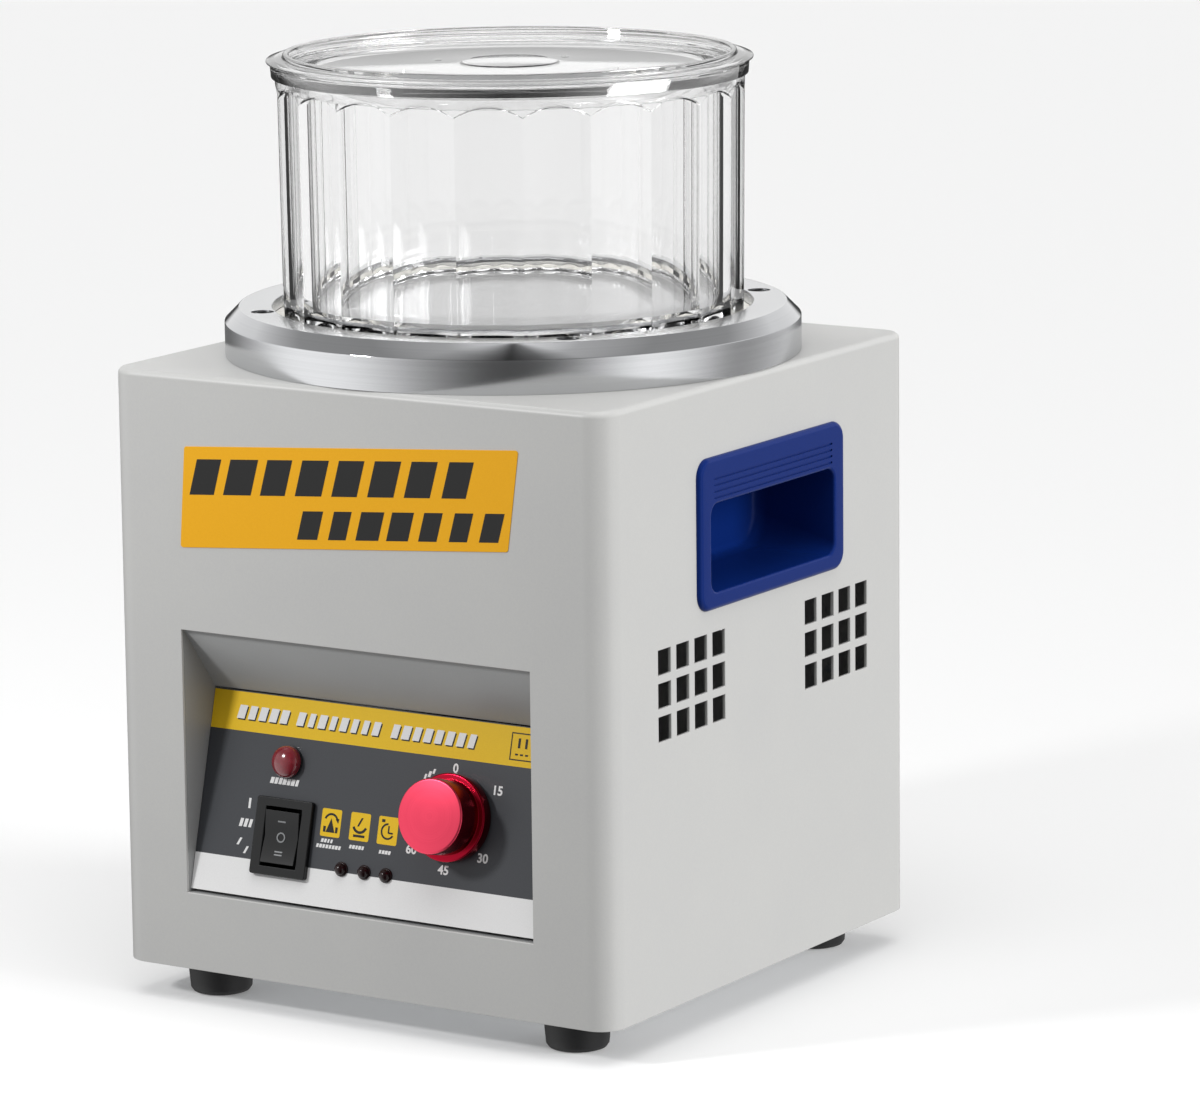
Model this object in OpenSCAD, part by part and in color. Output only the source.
// Bench-top magnetic pin tumbler: a painted steel box with a motor-driven disc of magnets
// under a clear lift-off bowl. Millimetres, +Z up, front towards -Y. The origin is on the
// ground, below the common axis of the motor, the magnet disc and the bowl.

/* [Body] */
// Width of the box, left to right
body_w = 240; // [236:1:260]
// Depth of the box, front to back
body_d = 240; // [238:1:260]
// Height of the box without its feet
body_h = 249; // [247:1:251]
// Radius of the box's upright edges
corner_r = 11; // [6:1:14]
// Sheet thickness of the box and its panels
sheet = 1.5; // [1:0.1:2]
// Height of the rubber feet
foot_h = 15; // [12:1:20]

/* [Control recess] */
// Width of the opening in the front wall
recess_w = 169.5; // [160:0.5:180]
// Height of the opening's lower edge above the ground
recess_low = 47.5; // [44:0.5:50]
// Height of the opening's upper edge above the ground
recess_high = 158; // [156:0.5:160]
// How far behind the front wall the recess is deepest
recess_depth = 22.7; // [20:0.1:25]
// Height of that deepest line above the ground
fold_z = 130.4; // [126:0.1:134]
// Lean of the control panel from upright, in degrees
panel_tilt = 14.1; // [12:0.1:15]

/* [Ring and bowl] */
// Outer diameter of the aluminium ring
ring_d = 238.6; // [230:0.2:239]
// Height of the ring above the top of the box
ring_h = 20; // [18:0.5:24]
// Pitch circle of the ring's screws
screw_pcd = 210; // [206:1:212]
// Inner diameter of the bowl at its mouth
bowl_id = 185; // [180:1:186]
// Wall thickness of the bowl at its mouth
bowl_wall = 4; // [3:0.1:4]
// Height of the bowl from its base to its rim
bowl_h = 104.4; // [80:0.1:120]
// Number of flat flutes round the bowl
flutes = 22; // [16:1:28]

/* [Drive] */
// Diameter of the motor frame
motor_d = 110; // [100:2:120]
// Length of the stator's lamination stack
stack_h = 60; // [40:2:70]
// Diameter of the motor shaft
shaft_d = 15; // [15:1:15]
// Diameter of the magnet disc
disc_d = 172; // [160:2:176]
// Diameter of each magnet
magnet_d = 32; // [20:1:36]
// Number of magnets
magnets_n = 8; // [4:1:8]

/* [Controls] */
// Diameter of the knob's flange
knob_d = 36; // [32:1:38]
// How far the knob stands out of the panel
knob_h = 18.5; // [16:0.5:20]

/* [Hidden] */
$fn = 64;

eps = 0.01;
gap = 0.3;
body_top = foot_h + body_h;
front_y = -body_d / 2;
rear_y = body_d / 2;

// Recess and panel, from the opening's sizes
recess_x = -1;
pocket_t = 1.5;
fold_y = front_y + recess_depth;
panel_w = recess_w - 0.5;
panel_len = 84;
overlay_t = 0.4;
panel_t = 1.6;

// Places on the panel: across, and down from the fold
knob_x = 38.5;
knob_u = 40.7;
rocker_x = -42.6;
rocker_u = 58.2;
rocker_w = 27.5;
rocker_len = 32;
lamp_x = -44.5;
lamp_u = 27.2;
led_x = [-12.6, -1.4, 9.2];
led_u = 67.5;
timer_bush_r = 4.5;
timer_shaft_r = 3;

// Ring, separator and bowl heights
ring_r = ring_d / 2;
ring_top = body_top + ring_h;
ring_chamfer = 6;
seat_r = 99.5;
chamber_r = 94.5;
separator_t = 3;
separator_top = ring_top - 5;
ledge_z = separator_top - separator_t;
spigot_r = 97.7;
bowl_base = separator_top + gap;
bowl_rim = bowl_base + bowl_h;
bowl_r = bowl_id / 2;
bowl_outer = bowl_r + bowl_wall;
flute_top = bowl_rim - 11;
bowl_floor_t = 3.8;
lid_flange_z = bowl_rim + gap;
lid_disc_z = bowl_rim - 3.7;

// Ring screws and standoffs share one square pattern
screw_xy = screw_pcd / 2 * cos(45);
m5_r = 2.5;
m5_clear = 2.8;
m5_head_r = 4.25;
m5_head_h = 5;

// Drive stack, from the separator down
magnet_h = 10;
magnet_top = ledge_z - 3;
disc_t = 5;
disc_z = magnet_top - magnet_h - disc_t;
magnet_ring_r = disc_d / 2 - magnet_d / 2 - 4;
hub_r = 18;
hub_h = 16;
plate_t = 3;
plate_z = disc_z - hub_h - 6 - plate_t;
plate_w = 176;
motor_r = motor_d / 2;
bell_h = 20;
bell_wall = 4;
stack_z = plate_z - bell_h - stack_h;
motor_low = stack_z - bell_h;
shaft_r = shaft_d / 2 - 0.04;
bearing_r = 17.5;
bearing_h = 11;
rotor_r = 28.4;
stator_bore = 29;
bolt_ring_r = motor_r - 6;
fan_r = 46;
fan_h = 12;

// Rear panel and inlet
rear_open = [160, 150];
rear_panel_w = 178;
rear_panel_h = 168;
rear_panel_z = 32;
inlet_x = -45;
inlet_z = 72;
inlet_flange = [48, 52, 3.5];
socket_w = 24;
socket_h = 16.5;
socket_z = inlet_z + 8;
drawer_w = 20;
drawer_h = 10;
drawer_z = inlet_z - 14;

// Feet, in from the centre
foot_x = 88;
foot_y = 94.5;
foot_r = 14;

module rounded_rect(w, d, r) {
    square([w - 2 * r, d], center = true);
    square([w, d - 2 * r], center = true);
    for (sx = [-1, 1], sy = [-1, 1])
        translate([sx * (w / 2 - r), sy * (d / 2 - r)]) circle(r = r);
}

// A plate of rounded outline standing on z
module rounded_plate(w, d, h, r, z = 0) {
    translate([0, 0, z]) linear_extrude(h) rounded_rect(w, d, r);
}

// A plate across Y, its front face at y
module upright_plate(w, h, t, r, y, z) {
    translate([0, y + t, z + h / 2]) rotate([90, 0, 0]) linear_extrude(t) rounded_rect(w, h, r);
}

// Copies at the four corners of a rectangle
module at_corners(x, y) {
    for (sx = [-1, 1], sy = [-1, 1]) translate([sx * x, sy * y, 0]) children();
}

// Copies evenly spaced round the axis
module around(n, r, start = 0) {
    for (i = [0 : n - 1]) rotate([0, 0, start + i * 360 / n]) translate([r, 0, 0]) children();
}

// The panel's own frame: X across, Y up the slope, Z out of its face
module on_panel(x = 0, u = 0, off = 0) {
    translate([recess_x, fold_y, fold_z]) rotate([90 - panel_tilt, 0, 0])
        translate([x - recess_x, -u, off]) children();
}

// A tube or disc standing on z
module tube(r, h, z, bore = 0) {
    translate([0, 0, z]) difference() {
        cylinder(r = r, h = h);
        if (bore > 0) translate([0, 0, -1]) cylinder(r = bore, h = h + 2);
    }
}

// A cap screw pointing down, the top of its head at z
module cap_screw(z, length) {
    translate([0, 0, z - m5_head_h]) difference() {
        cylinder(r = m5_head_r, h = m5_head_h);
        translate([0, 0, m5_head_h - 2.5]) cylinder(r = 2.3, h = 3, $fn = 6);
    }
    translate([0, 0, z - m5_head_h - length]) cylinder(r = m5_r, h = length + eps);
}

// A low-headed screw pointing up, its head below z
module pan_screw(z, length, r = 2) {
    translate([0, 0, z - 2]) cylinder(r = 2 * r, h = 2);
    translate([0, 0, z - eps]) cylinder(r = r, h = length);
}

// The block of rectangular air slots cut in a side wall
vent_cols = 4;
vent_rows = 3;
vent_w = 9.6;
vent_h = 10.2;
vent_pitch = [13.87, 13.55];
vent_top = 163.2;
module vent_block(centre) {
    for (c = [0 : vent_cols - 1], r = [0 : vent_rows - 1])
        translate([0, centre + (c - (vent_cols - 1) / 2) * vent_pitch[0],
                   vent_top - vent_h / 2 - r * vent_pitch[1]])
            cube([4 * sheet, vent_w, vent_h], center = true);
}
vent_centres = [-56.5, 58.5];

// Hand hold: opening, rim and pocket, along Y and Z
grip_y = 5;
grip_z = 203.8;
grip_rim = [115, 62.2];
grip_open = [98, 36];
grip_open_z = grip_z - 5.9;
grip_depth = 38;
grip_wall = 2;
grip_rim_t = 2.2;

module housing_shell() {
    inner = sheet * 2;
    color("gainsboro") difference() {
        union() {
            difference() {
                rounded_plate(body_w, body_d, body_h, corner_r, foot_h);
                rounded_plate(body_w - inner, body_d - inner, body_h - sheet + 1,
                              corner_r - sheet, foot_h - 1);
            }
            // Flange that the base plate screws to
            translate([0, 0, foot_h + sheet + 0.1]) linear_extrude(sheet) difference() {
                rounded_rect(body_w - sheet, body_d - sheet, corner_r - sheet / 2);
                square([body_w - 28, body_d - 28], center = true);
            }
        }
        // Seat of the ring and its screws
        translate([0, 0, body_top - 3 * sheet]) cylinder(r = spigot_r + gap, h = 6 * sheet);
        at_corners(screw_xy, screw_xy)
            translate([0, 0, body_top - 3 * sheet]) cylinder(r = m5_clear, h = 6 * sheet);
        // Control recess
        translate([recess_x - recess_w / 2, front_y - 1, recess_low])
            cube([recess_w, 3 * sheet, recess_high - recess_low]);
        // Service opening behind the rear panel
        translate([-rear_open[0] / 2, rear_y - 2 * sheet, rear_panel_z + 9])
            cube([rear_open[0], 4 * sheet, rear_open[1]]);
        for (s = [-1, 1]) {
            // Hand hold openings, with room for their snap walls
            translate([s * body_w / 2, grip_y, grip_open_z])
                cube([4 * sheet, grip_open[0] + 8, grip_open[1] + 8], center = true);
            for (y = vent_centres) translate([s * body_w / 2, 0, 0]) vent_block(y);
        }
        rear_screw_places() cylinder(r = 1.9, h = 8, center = true);
        base_screw_places(0) cylinder(r = 1.9, h = 20);
    }
}

// Rear panel screws: three down each side
module rear_screw_places() {
    for (sx = [-1, 1], i = [0 : 2])
        translate([sx * (rear_panel_w / 2 - 5), rear_y, rear_panel_z + 8 + i * (rear_panel_h / 2 - 8)])
            rotate([-90, 0, 0]) children();
}

// Base plate screws: two along each side, in the flange
module base_screw_places(z) {
    for (a = [0 : 90 : 270], s = [-1, 1])
        rotate([0, 0, a]) translate([s * 62, -body_d / 2 + 8, foot_h + z]) children();
}

module rear_panel() {
    color("gainsboro") difference() {
        upright_plate(rear_panel_w, rear_panel_h, sheet, 4, rear_y, rear_panel_z);
        rear_screw_places() cylinder(r = 2.1, h = 8, center = true);
        translate([inlet_x, rear_y, inlet_z]) cube([32, 10, 46], center = true);
        for (s = [-1, 1]) translate([inlet_x + s * 20, rear_y - 2, inlet_z]) rotate([-90, 0, 0])
            cylinder(r = 1.9, h = 8);
        for (x = [-30, 30]) translate([x, rear_y, 0]) rotate([0, 0, 90]) vent_block(0);
    }
}

module rear_panel_screws() {
    color("silver") rear_screw_places() translate([0, 0, -6]) {
        cylinder(r = 1.8, h = 6 + sheet);
        translate([0, 0, 6 + sheet]) cylinder(r = 3.6, h = 1.8);
    }
}

module base_plate() {
    side = body_w - 2 * sheet - 1;
    color("darkgray") difference() {
        rounded_plate(side, body_d - 2 * sheet - 1, sheet, corner_r - sheet - 0.5, foot_h);
        base_screw_places(-5) cylinder(r = 2.1, h = 20);
        at_corners(foot_x, foot_y) translate([0, 0, foot_h - 2]) cylinder(r = m5_clear, h = 10);
        for (x = [-40 : 16 : 40], y = [-30, 30])
            translate([x, y, foot_h]) cube([6, 40, 10], center = true);
    }
}

module base_screws() {
    color("silver") base_screw_places(0) pan_screw(0, 6, 1.8);
}

module foot(sx, sy) {
    color("#1c1c1e") translate([sx * foot_x, sy * foot_y, 0]) difference() {
        rotate_extrude() polygon([
            [0, 0], [foot_r - 4, 0], [foot_r - 2.2, 0.6], [foot_r - 1.2, 2], [foot_r, foot_h],
            [0, foot_h]
        ]);
        translate([0, 0, -1]) cylinder(r = 5.5, h = 8);
        cylinder(r = m5_clear, h = foot_h + 1);
    }
}

module foot_front_left() { foot(-1, -1); }
module foot_front_right() { foot(1, -1); }
module foot_rear_left() { foot(-1, 1); }
module foot_rear_right() { foot(1, 1); }

module foot_screws() {
    color("silver") at_corners(foot_x, foot_y) {
        translate([0, 0, 4]) cylinder(r = 4.5, h = 3);
        translate([0, 0, 7 - eps]) cylinder(r = m5_r, h = 17);
        translate([0, 0, foot_h + sheet]) cylinder(r = 4.6, h = 4, $fn = 6);
    }
}

// Sloping roof, cheeks and sill that close the recess behind the front wall
module panel_pocket() {
    y0 = front_y + sheet;
    back_y = fold_y + 4;
    toe_y = fold_y - panel_len * sin(panel_tilt);
    toe_z = fold_z - panel_len * cos(panel_tilt);
    color("darkgray") translate([recess_x, 0, 0]) {
        // Roof
        rotate([90, 0, 90]) translate([0, 0, -recess_w / 2 - pocket_t])
            linear_extrude(recess_w + 2 * pocket_t) polygon([
                [y0, recess_high], [fold_y, fold_z], [back_y, fold_z], [back_y, fold_z + pocket_t],
                [fold_y + 0.6, fold_z + 1.3], [y0, recess_high + 1.9]
            ]);
        // Cheeks
        for (s = [-1, 1])
            translate([s * (recess_w / 2 + pocket_t / 2), 0, 0]) rotate([90, 0, 90])
                translate([0, 0, -pocket_t / 2]) linear_extrude(pocket_t) polygon([
                    [y0, recess_high + 1.9], [fold_y + 0.6, fold_z + 1.3], [back_y, fold_z + pocket_t],
                    [toe_y + 4.5, recess_low - pocket_t], [y0, recess_low - pocket_t]
                ]);
        // Sill
        translate([-recess_w / 2 - pocket_t, y0, recess_low - pocket_t])
            cube([recess_w + 2 * pocket_t, toe_y + 4.5 - y0, pocket_t]);
        // Flange against the inside of the front wall
        difference() {
            translate([-recess_w / 2 - 10, y0, recess_low - 9])
                cube([recess_w + 20, pocket_t, recess_high - recess_low + 19]);
            translate([-recess_w / 2, y0 - 1, recess_low])
                cube([recess_w, pocket_t + 2, recess_high - recess_low]);
        }
    }
}

module panel_cutouts(t) {
    translate([knob_x - recess_x, -knob_u, -t]) cylinder(r = timer_bush_r + 0.2, h = 3 * t);
    translate([rocker_x - recess_x, -rocker_u, 0]) cube([23, 28, 6 * t], center = true);
    translate([lamp_x - recess_x, -lamp_u, -t]) cylinder(r = 5.2, h = 3 * t);
    for (x = led_x) translate([x - recess_x, -led_u, -t]) cylinder(r = 2.6, h = 3 * t);
}

module control_panel() {
    color("silver") on_panel(recess_x) difference() {
        translate([-panel_w / 2, -panel_len, -overlay_t - panel_t])
            cube([panel_w, panel_len - 2.2, panel_t]);
        translate([0, 0, -overlay_t - panel_t]) panel_cutouts(panel_t);
    }
}

module panel_overlay() {
    color("dimgray") on_panel(recess_x) difference() {
        translate([-panel_w / 2, -panel_len, -overlay_t]) cube([panel_w, panel_len - 0.6, overlay_t]);
        panel_cutouts(4 * overlay_t);
    }
}

// Slanted label on the front wall
module front_label() {
    label_t = 0.3;
    color("orange") translate([0, front_y, 0]) rotate([90, 0, 0]) linear_extrude(label_t)
        polygon([[-84.9, 192.4], [74.5, 205.2], [80, 246.3], [-81.9, 234.4]]);
}

// Moulded hand hold: flat rim outside the wall, open pocket inside it
module handle(side) {
    y = grip_open[0];
    z = grip_open[1];
    color("navy") mirrored(side) translate([body_w / 2, 0, 0]) difference() {
        union() {
            translate([0, grip_y, grip_z]) rotate([90, 0, 90])
                linear_extrude(grip_rim_t) rounded_rect(grip_rim[0], grip_rim[1], 7);
            translate([-grip_depth, grip_y, grip_open_z]) rotate([90, 0, 90])
                linear_extrude(grip_depth + eps) rounded_rect(y + 2 * grip_wall, z + 2 * grip_wall, 9);
        }
        translate([grip_wall - grip_depth, grip_y, grip_open_z]) rotate([90, 0, 90])
            linear_extrude(grip_depth + 5) rounded_rect(y, z, 5);
        for (i = [1 : 3]) translate([grip_rim_t, grip_y, grip_open_z + grip_open[1] / 2 + 3 * i])
            cube([1, grip_open[0] - 6, 1], center = true);
    }
}

// The right-hand part as drawn, or its mirror image on the left
module mirrored(side) {
    mirror([side > 0 ? 0 : 1, 0, 0]) children();
}

module handle_left() { handle(-1); }
module handle_right() { handle(1); }

module bowl_ring() {
    color("lightgray") difference() {
        rotate_extrude() polygon([
            [chamber_r, body_top - 4], [spigot_r, body_top - 4], [spigot_r, body_top],
            [ring_r, body_top], [ring_r, ring_top - ring_chamfer],
            [ring_r - ring_chamfer, ring_top], [seat_r, ring_top], [seat_r, ledge_z],
            [chamber_r, ledge_z]
        ]);
        at_corners(screw_xy, screw_xy) {
            translate([0, 0, body_top - 1]) cylinder(r = m5_clear, h = ring_h + 2);
            translate([0, 0, ring_top - m5_head_h - 1]) cylinder(r = 4.75, h = m5_head_h + 2);
        }
    }
}

module ring_screws() {
    color("dimgray") at_corners(screw_xy, screw_xy) cap_screw(ring_top - 1, 28);
}

module separator_disc() {
    color("ivory") tube(seat_r - gap, separator_t, ledge_z);
}

module bowl() {
    color([0.9, 0.93, 0.95, 0.35]) difference() {
        union() {
            // Fluted body, its flats cut to the same depth all round
            translate([0, 0, bowl_base]) linear_extrude(flute_top - bowl_base)
                polygon([for (i = [0 : flutes - 1]) (bowl_outer - 0.1) *
                    [cos(360 * i / flutes - 54), sin(360 * i / flutes - 54)]]);
            tube(bowl_outer, bowl_rim - flute_top, flute_top);
        }
        translate([0, 0, bowl_base + bowl_floor_t])
            cylinder(r1 = bowl_r - 0.7, r2 = bowl_r, h = bowl_h - bowl_floor_t + eps);
    }
}

module lid() {
    skirt_r = bowl_outer + gap + 0.1;
    color([0.9, 0.93, 0.95, 0.35]) rotate_extrude() polygon([
        [0, lid_disc_z], [bowl_r - 3, lid_disc_z], [bowl_r - 2.6, lid_disc_z - 6],
        [bowl_r - 0.9, lid_disc_z - 6], [bowl_r - 0.5, lid_flange_z], [skirt_r, lid_flange_z],
        [skirt_r, bowl_rim - 5.1], [skirt_r + 1.2, bowl_rim - 5.1], [skirt_r + 1.6, lid_flange_z],
        [100.1, lid_flange_z + 0.8], [100.1, lid_flange_z + 1.4], [skirt_r, lid_flange_z + 2.2],
        [bowl_r + 1, lid_flange_z + 2.2], [bowl_r + 0.6, lid_flange_z + 4.2],
        [bowl_r - 1.6, lid_flange_z + 4.2], [bowl_r - 2, lid_disc_z + 3], [0, lid_disc_z + 3]
    ]);
}

module motor_plate() {
    color("darkgray") difference() {
        rounded_plate(plate_w, plate_w, plate_t, 8, plate_z);
        at_corners(screw_xy, screw_xy) translate([0, 0, plate_z - 1]) cylinder(r = m5_clear, h = 9);
        translate([0, 0, plate_z - 1]) cylinder(r = 12, h = 9);
        around(4, bolt_ring_r, 45) translate([0, 0, plate_z - 1]) cylinder(r = m5_clear, h = 9);
    }
}

module standoffs() {
    z = plate_z + plate_t;
    color("silver") at_corners(screw_xy, screw_xy) tube(7, body_top - sheet - z, z, m5_r);
}

module plate_screws() {
    color("dimgray") at_corners(screw_xy, screw_xy) {
        translate([0, 0, plate_z - 4]) cylinder(r = 4.6, h = 4, $fn = 6);
        translate([0, 0, plate_z - eps]) cylinder(r = m5_r, h = 10);
    }
}

// End bell: a cup with a bearing boss, standing on z with its mouth up
module end_bell(z) {
    color("lightgray") translate([0, 0, z]) difference() {
        cylinder(r = motor_r, h = bell_h);
        translate([0, 0, bearing_h + 3]) cylinder(r = motor_r - bell_wall, h = bell_h);
        translate([0, 0, 3]) difference() {
            cylinder(r = motor_r - bell_wall, h = bell_h);
            translate([0, 0, -1]) cylinder(r = bearing_r + 4, h = bearing_h + 1);
        }
        translate([0, 0, 3]) cylinder(r = bearing_r, h = bell_h);
        translate([0, 0, -1]) cylinder(r = 9, h = bell_h);
        around(4, bolt_ring_r, 45) translate([0, 0, -1]) cylinder(r = m5_clear, h = bell_h + 2);
    }
}

module motor_top_bell() {
    translate([0, 0, plate_z]) mirror([0, 0, 1]) end_bell(0);
}

module motor_bottom_bell() { end_bell(motor_low); }

module motor_stator() {
    color("slategray") difference() {
        tube(motor_r, stack_h, stack_z, stator_bore);
        around(4, bolt_ring_r, 45)
            translate([0, 0, stack_z - 1]) cylinder(r = m5_clear, h = stack_h + 2);
    }
}

module stator_windings() {
    turn_h = 4;
    color("chocolate") for (z = [stack_z - turn_h, stack_z + stack_h])
        tube(motor_r - 10, turn_h, z, stator_bore + 4);
}

module motor_bolts() {
    length = plate_z + plate_t - motor_low;
    color("dimgray") around(4, bolt_ring_r, 45) {
        translate([0, 0, motor_low - 4]) cylinder(r = 4.6, h = 4, $fn = 6);
        translate([0, 0, motor_low - eps]) cylinder(r = m5_r, h = length + 5);
        translate([0, 0, plate_z + plate_t]) cylinder(r = 4.6, h = 4, $fn = 6);
    }
}

module bearing(z) {
    color("silver") tube(bearing_r, bearing_h, z, shaft_d / 2);
}

module top_bearing() { bearing(plate_z - 3 - bearing_h); }
module bottom_bearing() { bearing(motor_low + 3); }

module motor_shaft() {
    low = motor_low - fan_h - 6;
    color("silver") tube(shaft_r, disc_z + disc_t - 1 - low, low);
}

module rotor_core() {
    color("slategray") tube(rotor_r, stack_h - 6, stack_z + 3, shaft_r);
}

module cooling_fan() {
    z = motor_low - fan_h - 5;
    color("#2b2b2e") difference() {
        union() {
            tube(13, fan_h, z);
            tube(fan_r, 1.6, z);
            around(9, 0) translate([10, -0.8, z]) cube([fan_r - 10.5, 1.6, fan_h]);
        }
        translate([0, 0, z - 1]) cylinder(r = shaft_r, h = fan_h + 2);
    }
}

module disc_hub() {
    z = disc_z - hub_h;
    color("silver") difference() {
        tube(hub_r, hub_h, z, shaft_r);
        translate([0, 0, z + hub_h / 2]) rotate([0, 90, 0]) cylinder(r = m5_r, h = hub_r + 1);
    }
}

module hub_screw() {
    color("dimgray") translate([shaft_r, 0, disc_z - hub_h / 2]) rotate([0, 90, 0])
        cylinder(r = m5_r, h = hub_r - shaft_r - 1);
}

module magnet_disc() {
    color("silver") tube(disc_d / 2, disc_t, disc_z, shaft_r);
}

module magnets() {
    color("#4c4c50") around(magnets_n, magnet_ring_r)
        translate([0, 0, disc_z + disc_t]) cylinder(r = magnet_d / 2, h = magnet_h);
}

// Sixty-minute clockwork timer behind the panel
module timer_body() {
    back = overlay_t + panel_t;
    color("dimgray") on_panel(knob_x, knob_u) difference() {
        union() {
            translate([-20, -20, -back - 30]) cube([40, 40, 30]);
            translate([0, 0, -back - eps]) cylinder(r = timer_bush_r, h = back + 3.6);
        }
        translate([0, 0, -back - 12]) cylinder(r = timer_shaft_r + 0.05, h = back + 20);
    }
}

module timer_nut() {
    color("silver") on_panel(knob_x, knob_u) difference() {
        cylinder(r = 8, h = 2.6, $fn = 6);
        translate([0, 0, -1]) cylinder(r = timer_bush_r, h = 6);
    }
}

module timer_shaft() {
    color("silver") on_panel(knob_x, knob_u, -10) cylinder(r = timer_shaft_r, h = knob_h + 6);
}

module timer_knob() {
    drum_r = 15.3;
    skirt_h = 6;
    low = 0.8;
    color("crimson") on_panel(knob_x, knob_u) difference() {
        union() {
            translate([0, 0, low]) cylinder(r = knob_d / 2, h = skirt_h - low);
            translate([0, 0, low]) cylinder(r = drum_r, h = knob_h - low);
        }
        translate([0, 0, low - 1]) cylinder(r = 10, h = 4.4);
        translate([0, 0, low - 1]) cylinder(r = timer_shaft_r, h = knob_h - 3);
        translate([0, 0, 10]) rotate([90, 0, 0]) cylinder(r = 1.5, h = knob_d);
    }
}

module knob_screw() {
    color("dimgray") on_panel(knob_x, knob_u, 10) rotate([90, 0, 0])
        translate([0, 0, timer_shaft_r]) cylinder(r = 1.5, h = 6);
}

// Rocker switch: bezel and case, with a trough that the button rocks in
rocker_pivot = -3;
rocker_pin_r = 1.5;
module rocker_body() {
    bezel_t = 2.4;
    color("#1b1b1d") on_panel(rocker_x, rocker_u) difference() {
        union() {
            linear_extrude(bezel_t) rounded_rect(rocker_w, rocker_len, 1.2);
            translate([-11, -13.5, -22]) cube([22, 27, 22 + eps]);
            for (y = [-8, 0, 8]) translate([-3, y - 0.4, -30]) cube([6, 0.8, 9]);
        }
        translate([-8.8, -12.2, -12]) cube([17.6, 24.4, 20]);
        translate([-10.3, 0, rocker_pivot]) rotate([0, 90, 0])
            cylinder(r = rocker_pin_r + 0.05, h = 20.6);
    }
}

// Button: a shallow vee seen from the side, level in its middle position
module rocker_button() {
    color("#232326") on_panel(rocker_x, rocker_u) {
        translate([-8.3, 0, 0]) rotate([90, 0, 90]) linear_extrude(16.6) polygon([
            [-10.8, 3.4], [0, 1.9], [10.8, 3.4], [10.8, 0.4], [6, -7], [-6, -7], [-10.8, 0.4]
        ]);
        translate([-10, 0, rocker_pivot]) rotate([0, 90, 0]) cylinder(r = rocker_pin_r, h = 20);
    }
}

module lamp_body() {
    color("#232326") on_panel(lamp_x, lamp_u) {
        translate([0, 0, -20]) cylinder(r = 5, h = 20);
        cylinder(r = 6.7, h = 1);
        for (x = [-2.5, 2.5]) translate([x - 0.4, -1.5, -27]) cube([0.8, 3, 7.5]);
    }
}

module lamp_lens() {
    color("darkred") on_panel(lamp_x, lamp_u, 1) rotate_extrude() intersection() {
        translate([0, -2.2]) circle(r = 7.5);
        square([6.6, 8]);
    }
}

module indicator_lamps() {
    color("#3a1114") for (x = led_x) on_panel(x, led_u) {
        translate([0, 0, -8]) cylinder(r = 2.5, h = 9);
        cylinder(r = 3, h = 0.8);
        translate([0, 0, 0.6]) intersection() {
            sphere(r = 2.5);
            cylinder(r = 3, h = 3);
        }
    }
}

// Mains inlet with a fuse drawer below its socket
module inlet_socket() {
    flange_y = rear_y + sheet;
    color("#1b1b1d") difference() {
        union() {
            translate([inlet_x, 0, 0])
                upright_plate(inlet_flange[0], inlet_flange[1], inlet_flange[2], 3, flange_y,
                              inlet_z - inlet_flange[1] / 2);
            translate([inlet_x - 15.5, rear_y - 26, inlet_z - 22.5]) cube([31, 26 + sheet + eps, 45]);
        }
        translate([inlet_x - socket_w / 2, rear_y - 14, socket_z - socket_h / 2])
            cube([socket_w, 30, socket_h]);
        translate([inlet_x - drawer_w / 2 - gap, rear_y - 20, drawer_z - drawer_h / 2 - gap])
            cube([drawer_w + 2 * gap, 40, drawer_h + 2 * gap]);
        for (s = [-1, 1]) translate([inlet_x + s * 20, flange_y - 1, inlet_z]) rotate([-90, 0, 0]) {
            cylinder(r = 1.9, h = 8);
            translate([0, 0, 1 + inlet_flange[2] - 1.6]) cylinder(r1 = 1.9, r2 = 3.6, h = 1.7);
        }
    }
}

module inlet_pins() {
    color("silver") for (p = [[-7, -2], [7, -2], [0, 2]])
        translate([inlet_x + p[0] - 1, rear_y - 31, socket_z + p[1] - 2]) cube([2, 29, 4]);
}

module inlet_screws() {
    color("silver") for (s = [-1, 1])
        translate([inlet_x + s * 20, rear_y + sheet + inlet_flange[2] - 1.6, inlet_z])
            rotate([-90, 0, 0]) {
                cylinder(r1 = 1.8, r2 = 3.4, h = 1.5);
                translate([0, 0, -9]) cylinder(r = 1.8, h = 9 + eps);
            }
}

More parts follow.
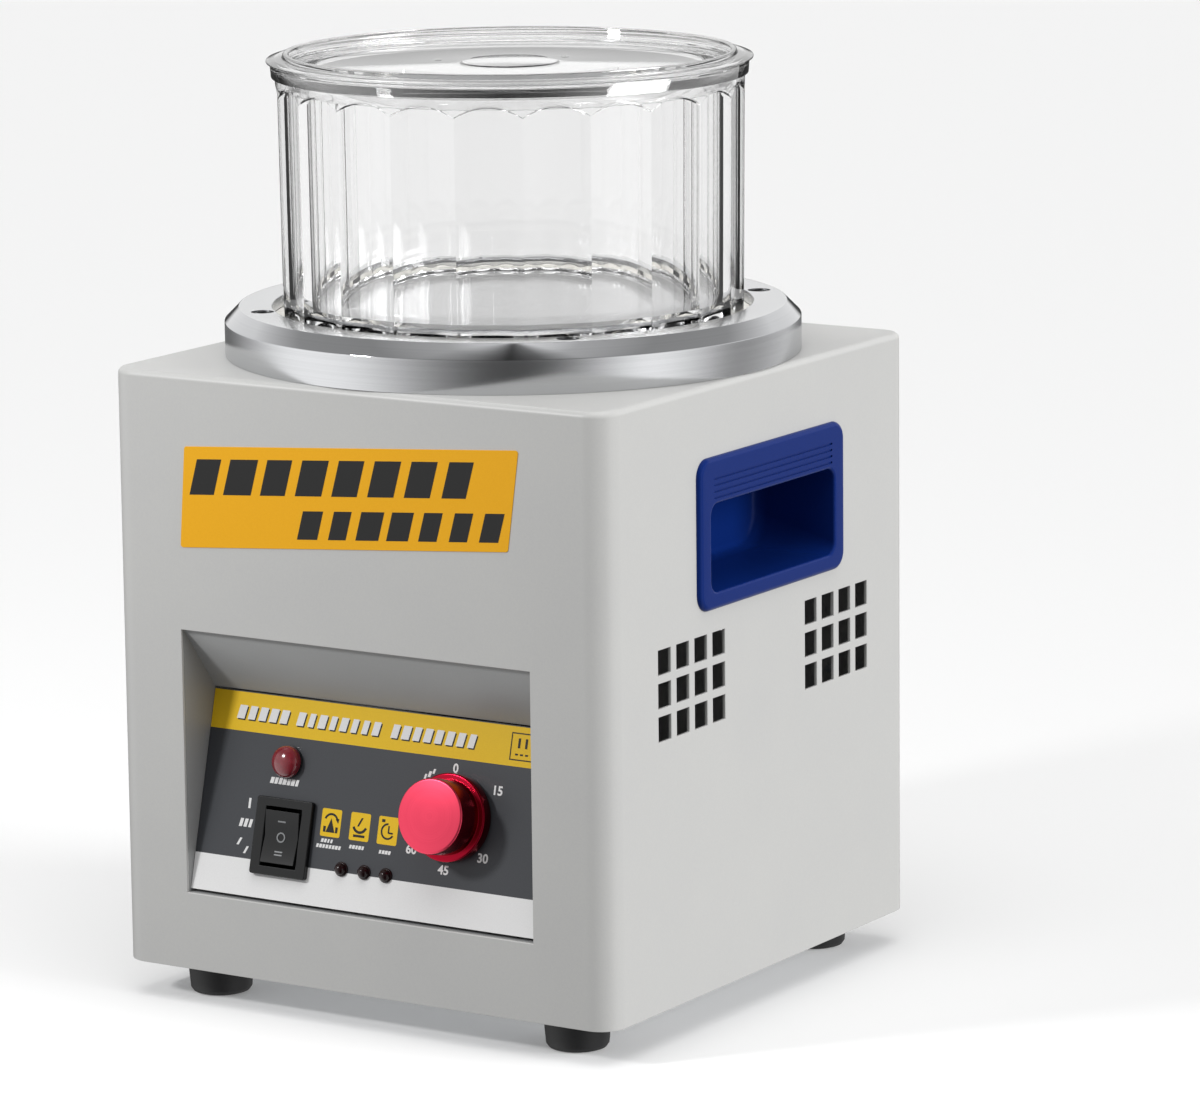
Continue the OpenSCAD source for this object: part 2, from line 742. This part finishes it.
module fuse_drawer() {
    y0 = rear_y - 18;
    front = rear_y + sheet + inlet_flange[2] - 0.2;
    color("#232326") difference() {
        translate([inlet_x - drawer_w / 2, y0, drawer_z - drawer_h / 2])
            cube([drawer_w, front - y0, drawer_h]);
        translate([inlet_x - 4, y0 - 1, drawer_z - 3]) cube([8, 19, 9]);
        translate([inlet_x - 5, front - 1.2, drawer_z + 1.5]) cube([10, 2, 4]);
    }
}

module fuse() {
    color("lightgray") translate([inlet_x, rear_y - 17, drawer_z]) rotate([-90, 0, 0])
        cylinder(r = 2.4, h = 16);
}

// Run capacitor standing on the base, in a strap clip
cap_x = -78;
cap_y = 55;
cap_r = 17;
module capacitor() {
    color("whitesmoke") translate([cap_x, cap_y, foot_h + sheet]) {
        cylinder(r = cap_r, h = 62);
        for (x = [-6, 6]) translate([x - 3, -0.4, 61]) cube([6, 0.8, 9]);
    }
}

module capacitor_clip() {
    color("silver") translate([cap_x, cap_y, foot_h + sheet]) difference() {
        union() {
            tube(cap_r + 1.2, 14, 22);
            translate([cap_r, -8, 0]) cube([12, 16, 1.2]);
            translate([cap_r, -8, 0]) cube([1.2, 16, 30]);
        }
        cylinder(r = cap_r, h = 60);
    }
}

module terminal_block() {
    color("ivory") translate([52, 62, foot_h + sheet]) difference() {
        cube([48, 20, 16]);
        for (i = [0 : 4]) translate([7 + i * 8.5, 10, 4]) cylinder(r = 2.6, h = 20);
    }
}

housing_shell();
rear_panel();
rear_panel_screws();
base_plate();
base_screws();
foot_front_left();
foot_front_right();
foot_rear_left();
foot_rear_right();
foot_screws();
panel_pocket();
control_panel();
panel_overlay();
front_label();
handle_left();
handle_right();
bowl_ring();
ring_screws();
separator_disc();
bowl();
lid();
motor_plate();
standoffs();
plate_screws();
motor_top_bell();
motor_stator();
stator_windings();
motor_bottom_bell();
motor_bolts();
top_bearing();
bottom_bearing();
motor_shaft();
rotor_core();
cooling_fan();
disc_hub();
hub_screw();
magnet_disc();
magnets();
timer_body();
timer_nut();
timer_shaft();
timer_knob();
knob_screw();
rocker_body();
rocker_button();
lamp_body();
lamp_lens();
indicator_lamps();
inlet_socket();
inlet_pins();
inlet_screws();
fuse_drawer();
fuse();
capacitor();
capacitor_clip();
terminal_block();
